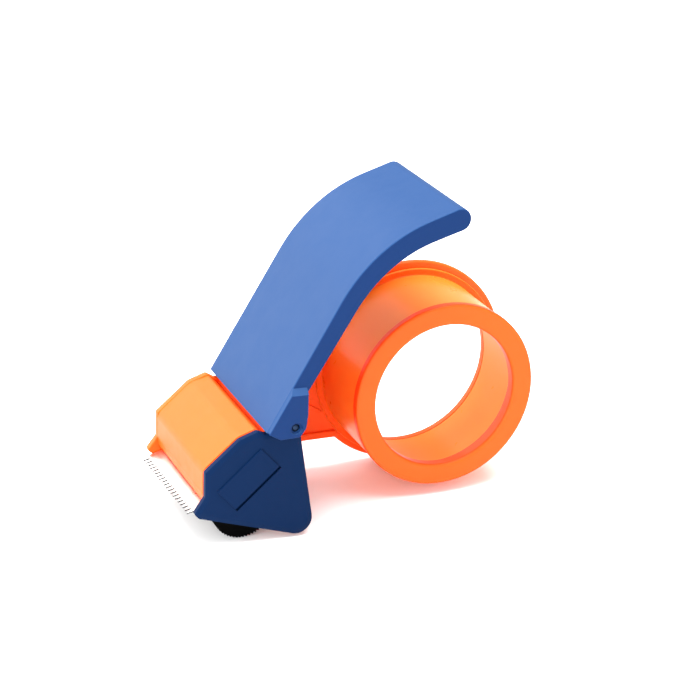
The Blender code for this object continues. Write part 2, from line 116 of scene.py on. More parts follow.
STRAP_START = (-81.4, 46.15)
STRAP_HEADING = 59.8
STRAP_MOVES = ((55.0, 0), (65.0, 16.1), (60.2, 25.7), (11.4, 0))
STRAP_DEPTH = 6.1
STRAP_DEEPENING = 0.024
STRAP_SKIN = 2.4
STRAP_HALF = 32.3
STRAP_NARROWING = 0.028
STRAP_TOP_Z = 125.0
LUG_FACES = {-1: 34.3, 1: 32.3}
PIN_ENDS = {-1: 33.5, 1: 31.8}

FLAP_PIVOT = (joint_place("flap_lift").x - FOOT_X, joint_place("flap_lift").z)
HANDLE_PIN = (middle("handle_pin_near").x - FOOT_X, middle("handle_pin_near").z)
GUARD_STEPS = 10
PAD_CENTRE = (-87.3, 27.4)
PAD_TURN = math.radians(42)
GUARD_PEGS = ((-79.6, 37.6), (-94.3, 34.4), (-70.0, 32.0))

BLADE_SCREW_Y = tuple(middle(f"blade_screw_{index}").y for index in (1, 2, 3))
BLADE_SCREW_Z = middle("blade_screw_1").z
BLADE_HALF = 26.0
TOOTH_COUNT = 20
TOOTH_DEPTH = 2.7
BLADE_BEND = (-101.0, 17.25)
BLADE_TIP = (-109.6, 14.8)
BLADE_SKEW = 0.2
BLADE_THICKNESS = 0.6


# ---------------------------------------------------------------- outlines

def corner_arc(corners, index):
    """Centre, first spoke and sweep of the arc that rounds one corner (x, z, radius) of a closed outline."""
    x, z, radius = corners[index]
    here = Vector((x, z))
    before = (Vector(corners[index - 1][:2]) - here).normalized()
    after = (Vector(corners[(index + 1) % len(corners)][:2]) - here).normalized()
    half = before.angle(after) / 2
    centre = here + (before + after).normalized() * radius / math.sin(half)
    first = here + before * radius / math.tan(half) - centre
    last = here + after * radius / math.tan(half) - centre
    return centre, first, first.angle_signed(last)


def arc_points(centre, first, sweep, steps):
    return [centre + Matrix.Rotation(-sweep * step / steps, 2) @ first for step in range(steps + 1)]


def rounded(corners, degrees=6):
    """Replace each corner of a closed outline by an arc of its radius, or keep it sharp where that is 0."""
    points = []
    for index, (x, z, radius) in enumerate(corners):
        if not radius:
            points.append(Vector((x, z)))
            continue
        centre, first, sweep = corner_arc(corners, index)
        steps = max(3, round(math.degrees(abs(sweep)) / degrees))
        points += arc_points(centre, first, sweep, steps)
    return points


def stepped(corners, steps):
    """Rounded outline with the same number of points at every corner, however tight it is."""
    points = []
    for index in range(len(corners)):
        points += arc_points(*corner_arc(corners, index), steps)
    return points


def walk(start, heading, moves, degrees=1.5):
    """Points and headings along a path: (length, 0) is straight, (radius, sweep) turns right."""
    x, z = start
    angle = math.radians(heading)
    path = [(x, z, angle)]
    for size, sweep in moves:
        if not sweep:
            x += size * math.cos(angle)
            z += size * math.sin(angle)
            path.append((x, z, angle))
            continue
        steps = max(4, round(sweep / degrees))
        turn = math.radians(sweep) / steps
        chord = 2 * size * math.sin(turn / 2)
        for _ in range(steps):
            x += chord * math.cos(angle - turn / 2)
            z += chord * math.sin(angle - turn / 2)
            angle -= turn
            path.append((x, z, angle))
    return path


def beside(path, distance):
    """The path moved to its right by a distance."""
    return [Vector((x + distance * math.sin(a), z - distance * math.cos(a))) for x, z, a in path]


def circle(centre, radius, count=64):
    turns = [2 * math.pi * step / count for step in range(count)]
    return [Vector((centre[0] + radius * math.cos(t), centre[1] + radius * math.sin(t))) for t in turns]


STRAP = walk(STRAP_START, STRAP_HEADING, STRAP_MOVES)


def strap_at(distance, depth):
    """Point on the strap's straight foot, a distance along it and a depth below its top."""
    path = walk(STRAP_START, STRAP_HEADING, ((distance, 0),))
    return beside(path, depth)[-1]


def cheek_corners(out):
    """Corners of the guard or of the far cheek, which stands further out: toe, base, rear, ear, brow."""
    lift = max(0, out)
    return (
        (-104.15 - out, 22.0 + out, 0.6),
        (-108.2 - out, 15.7 + out / 2 + 2 * lift, 1.2),
        (-106.2 - out / 2, 13.5 + 3 * lift, 1.0),
        (-59.6, -1.4, 6.0),
        (-66.6, 41.5, 0.05),
        (-67.2, 56.5, 1.5),
        (-71.5, 56.5, 1.0),
        (-78.4, 44.4, 0.5),
        (-80.9, 44.4, 0.8),
        (-83.9 - out, 45.95 + out, 1.5),
        (-91.0 - out, 43.5 + out, 3.0),
        (-104.15 - out, 32.0 + out, 0.8),
    )


def inward(corners, distance):
    """The same corners moved into the outline, with arcs that keep their centres."""
    moved = []
    count = len(corners)
    for index, (x, z, radius) in enumerate(corners):
        here = Vector((x, z))
        before = (here - Vector(corners[index - 1][:2])).normalized()
        after = (Vector(corners[(index + 1) % count][:2]) - here).normalized()
        turn = before.x * after.y - before.y * after.x
        left = Vector((-before.y, before.x)) + Vector((-after.y, after.x))
        left = left / (1 + before.dot(after))
        moved.append((x + left.x * distance, z + left.y * distance,
                      max(0.03, radius - distance if turn > 0 else radius + distance)))
    return moved


def strap_side(path, spare=0.0):
    """Lower edge of the handle's side walls, which grow deeper towards the tail."""
    travelled = 0.0
    points = []
    for index, (x, z, a) in enumerate(path):
        if index:
            travelled += math.hypot(x - path[index - 1][0], z - path[index - 1][1])
        depth = STRAP_DEPTH + STRAP_DEEPENING * travelled + spare
        points.append(Vector((x + depth * math.sin(a), z - depth * math.cos(a))))
    return points


# ---------------------------------------------------------------- solids

def add_object(name, mesh):
    item = bpy.data.objects.new(name, mesh)
    bpy.context.scene.collection.objects.link(item)
    return item


def weld(mesh, distance=0.002):
    work = bmesh.new()
    work.from_mesh(mesh)
    bmesh.ops.remove_doubles(work, verts=work.verts, dist=distance)
    bmesh.ops.dissolve_degenerate(work, edges=work.edges, dist=distance)
    bmesh.ops.recalc_face_normals(work, faces=work.faces)
    work.to_mesh(mesh)
    work.free()


def baked(item):
    """Turn an object with modifiers, or a curve, into a plain mesh object of the same name."""
    bpy.context.view_layer.update()
    mesh = bpy.data.meshes.new_from_object(item.evaluated_get(bpy.context.evaluated_depsgraph_get()))
    mesh.transform(item.matrix_world)
    name = item.name
    bpy.data.objects.remove(item, do_unlink=True)
    return add_object(name, mesh)


def plate(name, outline, y0, y1, edge=0.4, holes=(), steps=2):
    """A flat outline in the XZ plane, given thickness from y0 to y1, with rounded edges."""
    curve = bpy.data.curves.new(name, "CURVE")
    curve.dimensions = "2D"
    curve.fill_mode = "BOTH"
    curve.extrude = (y1 - y0) / 2 - edge
    curve.bevel_depth = edge
    curve.offset = -edge
    curve.bevel_resolution = steps
    for ring in (outline, *holes):
        spline = curve.splines.new("POLY")
        spline.points.add(len(ring) - 1)
        for point, (x, z) in zip(spline.points, ring):
            point.co = (x + FOOT_X, z, 0, 1)
        spline.use_cyclic_u = True
    drawn = bpy.data.objects.new(name, curve)
    bpy.context.scene.collection.objects.link(drawn)
    drawn.location.y = (y0 + y1) / 2
    drawn.rotation_euler.x = math.pi / 2
    item = baked(drawn)
    weld(item.data)
    return item


def turned(name, profile, centre, steps=160, degrees=15):
    """A closed profile of (radius, y, corner radius) turned about an axis along Y."""
    ring = rounded(profile, degrees)
    work = bmesh.new()
    loops = []
    for step in range(steps):
        angle = 2 * math.pi * step / steps
        x, z = math.cos(angle), math.sin(angle)
        loops.append([work.verts.new((centre[0] + FOOT_X + r * x, y, centre[1] + r * z)) for r, y in ring])
    count = len(ring)
    for step in range(steps):
        here = loops[step]
        there = loops[(step + 1) % steps]
        for index in range(count):
            following = (index + 1) % count
            work.faces.new((here[index], here[following], there[following], there[index]))
    mesh = bpy.data.meshes.new(name)
    work.to_mesh(mesh)
    work.free()
    weld(mesh)
    return add_object(name, mesh)


def solid_turned(name, profile, centre, steps=48, degrees=15):
    """A profile that starts and ends on the axis, turned about it: (radius, y, corner radius)."""
    closed = rounded([*profile, (-5.0, profile[-1][1], 0), (-5.0, profile[0][1], 0)], degrees)
    ring = [(r, y) for r, y in closed if r > -1]
    work = bmesh.new()
    poles = [work.verts.new((centre[0] + FOOT_X, y, centre[1])) for _, y in (ring[0], ring[-1])]
    inner = ring[1:-1]
    loops = []
    for step in range(steps):
        angle = 2 * math.pi * step / steps
        x, z = math.cos(angle), math.sin(angle)
        loops.append([work.verts.new((centre[0] + FOOT_X + r * x, y, centre[1] + r * z)) for r, y in inner])
    for step in range(steps):
        here = loops[step]
        there = loops[(step + 1) % steps]
        work.faces.new((poles[0], here[0], there[0]))
        work.faces.new((poles[1], there[-1], here[-1]))
        for index in range(len(inner) - 1):
            work.faces.new((here[index], here[index + 1], there[index + 1], there[index]))
    mesh = bpy.data.meshes.new(name)
    work.to_mesh(mesh)
    work.free()
    weld(mesh)
    return add_object(name, mesh)


def rod(name, centre, radius, y0, y1, steps=48, edge=0.3):
    return solid_turned(name, ((0, y0, 0), (radius, y0, edge), (radius, y1, edge), (0, y1, 0)), centre, steps)


def along_x(item, x_of_zero):
    """Turn a shape drawn about the Y axis at the foot so that its axis runs along X."""
    item.data.transform(Matrix.Translation((-FOOT_X, 0, 0)))
    item.data.transform(Matrix.Rotation(-math.pi / 2, 4, "Z"))
    item.data.transform(Matrix.Translation((x_of_zero + FOOT_X, 0, 0)))
    return item


def shift(item, x=0, y=0, z=0):
    item.data.transform(Matrix.Translation((x, y, z)))
    return item


def combine(target, tools, operation):
    """Join the tools to the target or cut them from it, and bake the result."""
    for tool in tools:
        step = target.modifiers.new(tool.name, "BOOLEAN")
        step.operation = operation
        step.object = tool
        step.solver = "MANIFOLD"
    result = baked(target)
    for tool in tools:
        bpy.data.objects.remove(tool, do_unlink=True)
    return result


def join(target, *tools):
    return combine(target, tools, "UNION")


def cut(target, *tools):
    return combine(target, tools, "DIFFERENCE")


def shade(item, degrees=38):
    """Smooth shading that keeps the broad faces flat and the true corners crisp."""
    item.data.shade_smooth()
    item.data.set_sharp_from_angle(angle=math.radians(degrees))
    step = item.modifiers.new("Normals", "WEIGHTED_NORMAL")
    step.mode = "FACE_AREA"
    step.weight = 60
    step.keep_sharp = True
    return baked(item)


def piece(item, body, slot, made, *nodes, degrees=38):
    """Finish a piece: shading, material, the body it rides on and the nodes it stands for."""
    item.data.transform(Matrix.Scale(MM, 4))
    item = shade(item, degrees)
    item.data.materials.clear()
    item.data.materials.append(made)
    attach(item, body)
    if nodes:
        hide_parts(*nodes)
    return item


# ---------------------------------------------------------------- materials

class Nodes:
    """A new material and short ways to add its nodes."""

    def __init__(self, name):
        self.made = bpy.data.materials.new(name)
        self.made.use_nodes = True
        self.tree = self.made.node_tree
        self.shader = self.tree.nodes["Principled BSDF"]
        self.place = self.tree.nodes.new("ShaderNodeTexCoord").outputs["Object"]

    def link(self, source, target):
        self.tree.links.new(source, target)

    def noise(self, scale, detail=4.0, roughness=0.55, stretch=None, distortion=0.0):
        node = self.tree.nodes.new("ShaderNodeTexNoise")
        node.inputs["Scale"].default_value = scale
        node.inputs["Detail"].default_value = detail
        node.inputs["Roughness"].default_value = roughness
        node.inputs["Distortion"].default_value = distortion
        source = self.place
        if stretch:
            mapping = self.tree.nodes.new("ShaderNodeMapping")
            mapping.inputs["Scale"].default_value = stretch
            self.link(self.place, mapping.inputs["Vector"])
            source = mapping.outputs["Vector"]
        self.link(source, node.inputs["Vector"])
        return node.outputs["Fac"]

    def ramp(self, source, stops):
        node = self.tree.nodes.new("ShaderNodeValToRGB")
        elements = node.color_ramp.elements
        while len(elements) < len(stops):
            elements.new(0.5)
        for element, (place, colour) in zip(elements, stops):
            element.position = place
            element.color = (*colour, 1)
        self.link(source, node.inputs["Fac"])
        return node.outputs["Color"]

    def span(self, source, low, high, from_low=0.3, from_high=0.7):
        node = self.tree.nodes.new("ShaderNodeMapRange")
        node.inputs["From Min"].default_value = from_low
        node.inputs["From Max"].default_value = from_high
        node.inputs["To Min"].default_value = low
        node.inputs["To Max"].default_value = high
        self.link(source, node.inputs["Value"])
        return node.outputs["Result"]

    def by_facing(self, body, other, axis, low, high, both_ways=False):
        """Change from the body colour to the other one where the surface looks along an axis of the tool,
        used to paint sheen and shade by facing.
        """
        facing = self.tree.nodes.new("ShaderNodeSeparateXYZ")
        self.link(self.place.node.outputs["Normal"], facing.inputs["Vector"])
        along = facing.outputs[axis]
        if both_ways:
            size = self.tree.nodes.new("ShaderNodeMath")
            size.operation = "ABSOLUTE"
            self.link(along, size.inputs[0])
            along = size.outputs["Value"]
        mix = self.tree.nodes.new("ShaderNodeMixRGB")
        mix.inputs["Color2"].default_value = (*other, 1)
        self.link(self.span(along, 0.0, 1.0, low, high), mix.inputs["Fac"])
        self.link(body, mix.inputs["Color1"])
        return mix.outputs["Color"]

    def bump(self, source, strength, distance, under=None):
        node = self.tree.nodes.new("ShaderNodeBump")
        node.inputs["Strength"].default_value = strength
        node.inputs["Distance"].default_value = distance * MM
        self.link(source, node.inputs["Height"])
        if under:
            self.link(under, node.inputs["Normal"])
        return node.outputs["Normal"]

    def set(self, **values):
        for name, value in values.items():
            self.shader.inputs[name.replace("_", " ")].default_value = value


def scaled(colour, factor):
    return tuple(min(1.0, channel * factor) for channel in colour)


def plastic(name, colour, gloss, grain, skin=0.0, reach=(1.0, 0.3, 0.1), sheen=0.3, top_sheen=None,
            flange=None):
    """Moulded plastic: flow marks, fine grain and worn patches, with painted light and shade on some faces.

    The faces that look up may take a painted sheen colour; those that look along the axis may take the flange
    colour, set apart from the body colour to paint shade.
    """
    nodes = Nodes(name)
    flow = nodes.noise(34.0, 3.0, 0.5, stretch=(1.0, 0.35, 1.0), distortion=0.6)
    body = nodes.ramp(flow, ((0.2, scaled(colour, 0.96)), (0.5, colour), (0.8, scaled(colour, 1.04))))
    # Faces that look up take a lighter colour: painted sheen.
    if top_sheen:
        body = nodes.by_facing(body, top_sheen, "Z", 0.05, 0.45)
    # Faces that look along the axis take another tone, so that one of the two paints shade.
    if flange:
        body = nodes.by_facing(body, flange, "Y", 0.4, 0.8, both_ways=True)
    nodes.link(body, nodes.shader.inputs["Base Color"])
    patches = nodes.noise(120.0, 5.0, 0.6)
    nodes.link(nodes.span(patches, gloss - 0.03, gloss + 0.04), nodes.shader.inputs["Roughness"])
    wave = nodes.bump(nodes.noise(26.0, 1.0, 0.4), 0.06, 0.4)
    nodes.link(nodes.bump(nodes.noise(2600.0, 2.0, 0.5), grain, 0.05, wave), nodes.shader.inputs["Normal"])
    nodes.set(IOR=1.49, Specular_IOR_Level=sheen, Subsurface_Weight=skin, Subsurface_Radius=reach,
              Subsurface_Scale=0.004)
    return nodes.made


def metal(name, colour, gloss, stretch, scratch, wave=0.2, flank_shade=None):
    """Drawn or rolled metal with fine lines along one direction, and painted shade on the faces that look
    along Y.
    """
    nodes = Nodes(name)
    nodes.set(Metallic=1.0)
    lines = nodes.noise(900.0, 6.0, 0.7, stretch=stretch)
    body = nodes.ramp(lines, ((0.25, scaled(colour, 0.82)), (0.55, colour), (0.8, scaled(colour, 1.08))))
    # Faces that look along Y, such as the blade's tooth flanks, get a darker colour: painted shade.
    if flank_shade:
        body = nodes.by_facing(body, flank_shade, "Y", 0.5, 0.8, both_ways=True)
    nodes.link(body, nodes.shader.inputs["Base Color"])
    patches = nodes.noise(240.0, 4.0, 0.6)
    nodes.link(nodes.span(patches, gloss - 0.06, gloss + 0.1), nodes.shader.inputs["Roughness"])
    soft = nodes.bump(nodes.noise(60.0, 1.0, 0.4), wave, 0.1)
    nodes.link(nodes.bump(lines, scratch, 0.02, soft), nodes.shader.inputs["Normal"])
    return nodes.made


def rubber():
    """Matt black rubber with a dusty bloom."""
    nodes = Nodes("look_black_rubber")
    bloom = nodes.noise(90.0, 6.0, 0.65)
    nodes.link(nodes.ramp(bloom, ((0.3, (0.0008, 0.0008, 0.0008)), (0.7, (0.0025, 0.0025, 0.0025)))),
               nodes.shader.inputs["Base Color"])
    nodes.link(nodes.span(bloom, 0.58, 0.78), nodes.shader.inputs["Roughness"])
    nodes.link(nodes.bump(nodes.noise(1800.0, 3.0, 0.6), 0.35, 0.05), nodes.shader.inputs["Normal"])
    nodes.set(Specular_IOR_Level=0.01)
    return nodes.made


ORANGE = (0.97, 0.098, 0.008)
ORANGE_HUB = (0.98, 0.084, 0.0075)
# Darker copy of the hub orange: painted shade on the end ring's faces that do not look along the axis, such
# as its bore.
ORANGE_HUB_SHADED = (0.97, 0.052, 0.004)
# Lighter copy of the orange: painted light on the drum.
ORANGE_DRUM_LIT = (1.0, 0.185, 0.019)
BLUE = (0.001, 0.020, 0.092)
# Lighter blue for the handle's faces that look up: painted sheen.
BLUE_TOP_SHEEN = (0.013, 0.048, 0.145)
NAVY = (0.001, 0.011, 0.045)

orange = plastic("look_orange_plastic", ORANGE, 0.42, 0.10, skin=0.12, sheen=0.15)
# End ring: painted shade on its bore and outer edge, the plain hub orange on its faces that look along the
# axis.
orange_hub = plastic("look_orange_hub_painted_shade", ORANGE_HUB_SHADED, 0.38, 0.06, skin=0.15, sheen=0.12,
                     flange=ORANGE_HUB)
# Drum: its lighter base colour is painted light, and the darker frame orange on faces that look along the
# axis is painted shade.
orange_drum = plastic("look_orange_drum_painted_light_and_shade", ORANGE_DRUM_LIT, 0.30, 0.04, skin=0.15, sheen=0.08,
                      flange=ORANGE)
# Handle: painted sheen on its faces that look up.
blue = plastic("look_blue_plastic_painted_sheen", BLUE, 0.50, 0.12, reach=(0.1, 0.3, 1.0), sheen=0.12, top_sheen=BLUE_TOP_SHEEN)
navy = plastic("look_navy_plastic", NAVY, 0.50, 0.14, reach=(0.1, 0.3, 1.0), sheen=0.05)
white = plastic("look_white_plastic", (0.74, 0.73, 0.69), 0.48, 0.08, skin=0.2, reach=(1.0, 0.8, 0.6))
steel = metal("look_bright_steel", (0.70, 0.71, 0.72), 0.22, (0.03, 1.0, 1.0), 0.25)
# Blade: painted shade on the tooth flanks.
blade_steel = metal("look_blade_steel_painted_shade", (0.70, 0.67, 0.64), 0.32, (1.0, 0.02, 1.0), 0.2,
                    flank_shade=(0.06, 0.06, 0.06))
# Dark, blue-tinted metal for the handle pins: painted shade for their recessed ends.
shaded_zinc = metal("look_zinc_painted_shade", (0.02, 0.035, 0.07), 0.5, (1.0, 1.0, 1.0), 0.3, 0.4)
zinc = metal("look_zinc", (0.62, 0.63, 0.64), 0.34, (1.0, 1.0, 1.0), 0.3, 0.4)
black_rubber = rubber()


# ---------------------------------------------------------------- orange body

def make_hood():
    """Bent wall from the nose's lower edge up over the top to the foot of the handle."""
    outline = rounded((
        (-102.6, 17.4, 0.3), (-103.4, 18.8, 0.8), (-103.95, 22.2, 4.0), (-103.95, 31.9, 4.5),
        (-90.9, 43.4, 8.0), (-83.9, 45.85, 1.2), (-79.0, 41.2, 0.4), (-81.0, 39.3, 0.4), (-84.6, 43.0, 0.5),
        (-89.9, 40.9, 5.5), (-101.5, 30.7, 2.0), (-101.5, 18.0, 0.3)), 4)
    hood = plate("hood", outline, -CHEEK_INNER + GAP, CHEEK_INNER + 1.0, edge=0.3)
    for vertex in hood.data.vertices:
        share = vertex.co.y / (2 * CHEEK_INNER) + 0.5
        share *= min(1, max(0, (FOOT_X + HOOD_LEAN_FROM_X - vertex.co.x) / HOOD_LEAN_BLEND))
        vertex.co.x -= HOOD_LEAN_OUT * share
        vertex.co.z += HOOD_LEAN_UP * share
    return hood


def make_tongue():
    """Flat tongue that stands inside the handle, just under its skin."""
    reach = walk(STRAP_START, STRAP_HEADING, ((-4.0, 0), (34.0, 0)))[1:]
    outline = beside(reach, STRAP_SKIN + 2 * GAP) + beside(reach, STRAP_SKIN + 2 * GAP + WALL)[::-1]
    return plate("tongue", outline, -CHEEK_INNER + 2 * GAP, CHEEK_INNER + 0.8, edge=0.3)


def make_arm():
    """Plate from the far cheek to the flange ring, level along its upper and lower edges."""
    outline = rounded((
        (-76.0, 13.3, 0.4), (-76.0, 40.0, 0.4), (-70.5, 55.6, 0.4), (-42.8, 55.6, 6.0), (-33.0, 68.0, 0.4),
        (-14.0, 60.0, 0.4), (-14.0, 13.3, 0.4)))
    return plate("arm", outline, HUB_FAR_Y - 3.0, HUB_FAR_Y, edge=0.35)


def make_rim():
    """Flange ring at the far end of the drum."""
    near = HUB_FAR_Y - RIM_THICKNESS
    return turned("rim", (
        (BORE_RADIUS, near, 0.4), (BORE_RADIUS, HUB_FAR_Y, 0.4), (RIM_RADIUS, HUB_FAR_Y, 0.9),
        (RIM_RADIUS, near, 0.9)), (0, HUB_Z), RING_STEPS)


def hub_screw_places():
    screws = [middle(f"hub_screw_{index}") for index in (1, 2, 3, 4)]
    return [(screw.x - FOOT_X, screw.z) for screw in screws]


def make_body_frame():
    """Far cheek, hood, tongue, arm and flange ring in one moulding, with its posts and holes."""
    item = plate("frame_moulding", rounded(cheek_corners(BROW_FAR)), CHEEK_INNER, CHEEK_OUTER, edge=0.45)
    item = join(item, make_hood(), make_tongue())
    bore = rod("bore_cut", (0, HUB_Z), BORE_RADIUS + 0.5, HUB_FAR_Y - 8, HUB_FAR_Y + 4, RING_STEPS, 0.1)
    item = join(item, cut(make_arm(), bore))
    item = join(item, make_rim())
    lip = rounded(((-75.4, 13.4, 0), (-75.4, 16.2, 0.5), (-30.5, 16.2, 0.5), (-29.3, 13.4, 0)))
    rib = rounded(((-68.0, 39.4, 0), (-67.4, 40.5, 0), (-41.0, 28.2, 0.2), (-36.0, 24.9, 0.1),
                   (-41.6, 26.9, 0.2)))
    item = join(item, plate("arm_lip", lip, HUB_FAR_Y - 4.4, HUB_FAR_Y - 2.0, edge=0.3))
    item = join(item, plate("arm_rib", rib, HUB_FAR_Y - 3.8, HUB_FAR_Y - 2.0, edge=0.15))
    posts = [rod(f"post_{index}", peg, 3.4, -CHEEK_INNER + GAP, CHEEK_INNER + 1.0)
             for index, peg in enumerate(GUARD_PEGS)]
    item = join(item, *posts, rod("handle_boss", HANDLE_PIN, 4.0, -CHEEK_INNER + GAP, CHEEK_INNER + 1.0))
    holes = [rod(f"peg_hole_{index}", peg, 2.1, -CHEEK_INNER - 2, -CHEEK_INNER + 9)
             for index, peg in enumerate(GUARD_PEGS)]
    holes.append(rod("pin_hole_near", HANDLE_PIN, 1.6, -36.0, -18.0))
    holes.append(rod("pin_hole_far", HANDLE_PIN, 1.6, 18.0, 36.0))
    holes.append(rod("axle_hole", ROLLER, 1.8, CHEEK_INNER - 4, CHEEK_INNER + 2))
    holes.append(rod("flap_pin_hole", FLAP_PIVOT, 1.5, CHEEK_INNER - 4, CHEEK_INNER + 2))
    for index, y in enumerate(BLADE_SCREW_Y):
        hole = along_x(rod(f"blade_hole_{index}", (0, 0), 1.1, -3.0, 3.0, 32, 0.1), -100.9)
        holes.append(shift(hole, y=y, z=BLADE_SCREW_Z))
    for index, place in enumerate(hub_screw_places()):
        holes.append(rod(f"ring_hole_{index}", place, 0.85, HUB_FAR_Y - 6, HUB_FAR_Y + 2, 32, 0.1))
        holes.append(rod(f"ring_sink_{index}", place, 1.25, HUB_FAR_Y - 1.3, HUB_FAR_Y + 2, 32, 0.1))
    item = cut(item, *holes)
    return piece(item, "body", "orange", orange, "body_frame")


# ---------------------------------------------------------------- hub

def make_tape_hub():
    """Drum with a small flange that seats on the frame's ring."""
    far = HUB_FAR_Y - RIM_THICKNESS - GAP
    near = HUB_NEAR_Y + END_RING_THICKNESS + GAP
    drum = turned("hub_drum", (
        (BORE_RADIUS, far, 0.3), (HUB_FLANGE_RADIUS, far, 0.3), (HUB_FLANGE_RADIUS, far - 1.5, 0.5),
        (DRUM_RADIUS, far - 1.5, 0.6), (DRUM_RADIUS, near, 0.4),
        (BORE_RADIUS - 0.4, near, 0.2)), (0, HUB_Z), RING_STEPS)
    holes = [rod(f"drum_hole_{index}", place, 0.7, far - 7, far + 1, 32, 0.1)
             for index, place in enumerate(hub_screw_places())]
    return piece(cut(drum, *holes), "body", "orange_hub", orange_drum, "tape_hub")


def make_end_ring():
    """Ring with a rounded outer edge, a wide face and a collar that plugs into the drum."""
    y = HUB_NEAR_Y
    back = y + END_RING_THICKNESS
    ring = turned("hub_nose_ring", (
        (33.9, back + 5.0, 0.3), (33.9, back, 0.2), (END_RING_RADIUS, back, 0.3), (END_RING_RADIUS, y, 1.1),
        (END_RING_BORE, y, 1.4), (END_RING_BORE, y + 4.6, 0.3), (31.4, y + 4.8, 0.5),
        (31.4, back + 5.0, 0.3)), (0, HUB_Z), RING_STEPS)
    return piece(ring, "body", "orange_hub", orange_hub, "hub_end_ring")


def cross_recess(name, centre, y_open, depth, reach):
    """A cross cutter that narrows towards its floor."""
    arms = []
    for turn in (25, 115):
        along = Vector((math.cos(math.radians(turn)), math.sin(math.radians(turn))))
        across = Vector((-along.y, along.x))
        outline = [Vector(centre) + along * a * reach + across * b * reach * 0.2
                   for a, b in ((-1, -1), (1, -1), (1, 1), (-1, 1))]
        faces = sorted((y_open - depth, y_open + 1.0))
        arms.append(plate(f"{name}_{turn}", outline, *faces, edge=0.05, steps=1))
    return arms


def make_hub_screws():
    """Screws from the far side through the flange ring into the drum."""
    for index, place in enumerate(hub_screw_places()):
        top = HUB_FAR_Y + 0.1
        screw = solid_turned(f"hub_fixing_{index + 1}", (
            (0, HUB_FAR_Y - 9.0, 0), (0.35, HUB_FAR_Y - 8.6, 0.1), (0.6, HUB_FAR_Y - 7.6, 0.2),
            (0.6, HUB_FAR_Y - 1.0, 0.05), (1.1, HUB_FAR_Y - 1.0, 0.1), (1.1, top - 0.3, 0.2), (0.6, top, 0.4),
            (0, top, 0)), place)
        screw = cut(screw, *cross_recess(f"hub_cross_{index}", place, top, 0.6, 0.7))
        piece(screw, "body", "zinc", zinc, f"hub_screw_{index + 1}")


# ---------------------------------------------------------------- handle

def lug_outline():
    """Lug at each side of the handle's foot."""
    foot = strap_at(0.1, 0.1)
    tip = strap_at(19.5, 0.1)
    return rounded((
        (foot.x, foot.y, 0.6),
        (-76.6, 43.5, 1.5),
        (-68.9, 43.6, 1.8),
        (-66.6, 47.0, 3.0),
        (-66.0, 52.5, 3.0),
        (-66.1, 62.6, 0.4),
        (tip.x, tip.y, 0.4),
    ))


def narrow(item):
    """Draw the two sides together towards the top of the handle."""
    foot = STRAP_START[1]
    for vertex in item.data.vertices:
        vertex.co.y *= 1 - STRAP_NARROWING * (vertex.co.z - foot) / (STRAP_TOP_Z - foot)
    return item


def make_lug(side):
    """Lug round a pin, with a sloped upper end that runs out on the strap's side."""
    faces = sorted((side * (CHEEK_OUTER + 2 * GAP), side * LUG_FACES[side]))
    lug = plate(f"lug_{side}", lug_outline(), *faces, edge=0.4)
    work = bmesh.new()
    work.from_mesh(lug.data)
    edge = Vector((-66.1 + FOOT_X, side * STRAP_HALF, 62.3))
    slope = Vector((0.02, side * 0.7, 0.7)).normalized()
    everything = work.verts[:] + work.edges[:] + work.faces[:]
    cutting = bmesh.ops.bisect_plane(work, geom=everything, dist=0.0001, plane_co=edge, plane_no=slope,
                                     clear_outer=True)
    rim = [part for part in cutting["geom_cut"] if isinstance(part, bmesh.types.BMEdge)]
    if rim:
        bmesh.ops.holes_fill(work, edges=rim)
    bmesh.ops.recalc_face_normals(work, faces=work.faces)
    work.to_mesh(lug.data)
    work.free()
    face = side * LUG_FACES[side]
    recess = sorted((face - side * 0.7, face + side * 2.0))
    return cut(lug, rod(f"lug_hole_{side}", HANDLE_PIN, 1.6, *sorted((side * 28.0, side * 36.0)), 48, 0.1),
               rod(f"lug_recess_{side}", HANDLE_PIN, 2.4, *recess, 48, 0.3))


def make_handle():
    """Strap with side walls, open below, cross ribs inside, and a lug at each side of its foot."""
    top = beside(STRAP, 0)
    under = strap_side(STRAP)
    end = (top[-1] + under[-1]) / 2
    tail = [end + Matrix.Rotation(-math.pi * step / 20, 2) @ (top[-1] - end) for step in range(1, 20)]
    section = top + tail + under[::-1]
    item = narrow(plate("handle_moulding", section, -STRAP_HALF, STRAP_HALF, edge=0.5, steps=3))
    run = walk(STRAP_START, STRAP_HEADING, ((-6.0, 0), (6.0, 0)) + STRAP_MOVES[:-1])[1:]
    hollow = beside(run, STRAP_SKIN) + strap_side(run, 5)[::-1]
    item = cut(item, narrow(plate("hollow", hollow, -STRAP_HALF + 2.5, STRAP_HALF - 2.5, edge=0.6)))
    run = walk(STRAP_START, STRAP_HEADING, ((-7.0, 0), (38.0, 0)))[1:]
    foot = beside(run, STRAP_SKIN - 0.05) + strap_side(run, 12)[::-1]
    item = cut(item, plate("foot_pocket", foot, -CHEEK_OUTER - GAP, CHEEK_OUTER + GAP, edge=0.3))
    walls = strap_side(STRAP, -1.0)
    for index, share in enumerate((0.35, 0.55, 0.75)):
        place = int(share * (len(STRAP) - 1))
        x, z, heading = STRAP[place]
        rib = (beside([(x, z, heading)], STRAP_SKIN - 0.5)[0], walls[place])
        step = Vector((math.cos(heading), math.sin(heading))) * 0.8
        outline = [rib[0] - step, rib[0] + step, rib[1] + step * 0.8, rib[1] - step * 0.8]
        ridge = plate(f"handle_rib_{index}", outline, -STRAP_HALF + 2, STRAP_HALF - 2, edge=0.2)
        item = join(item, narrow(ridge))
    item = join(item, make_lug(-1), make_lug(1))
    return piece(item, "body", "blue", blue, "handle")


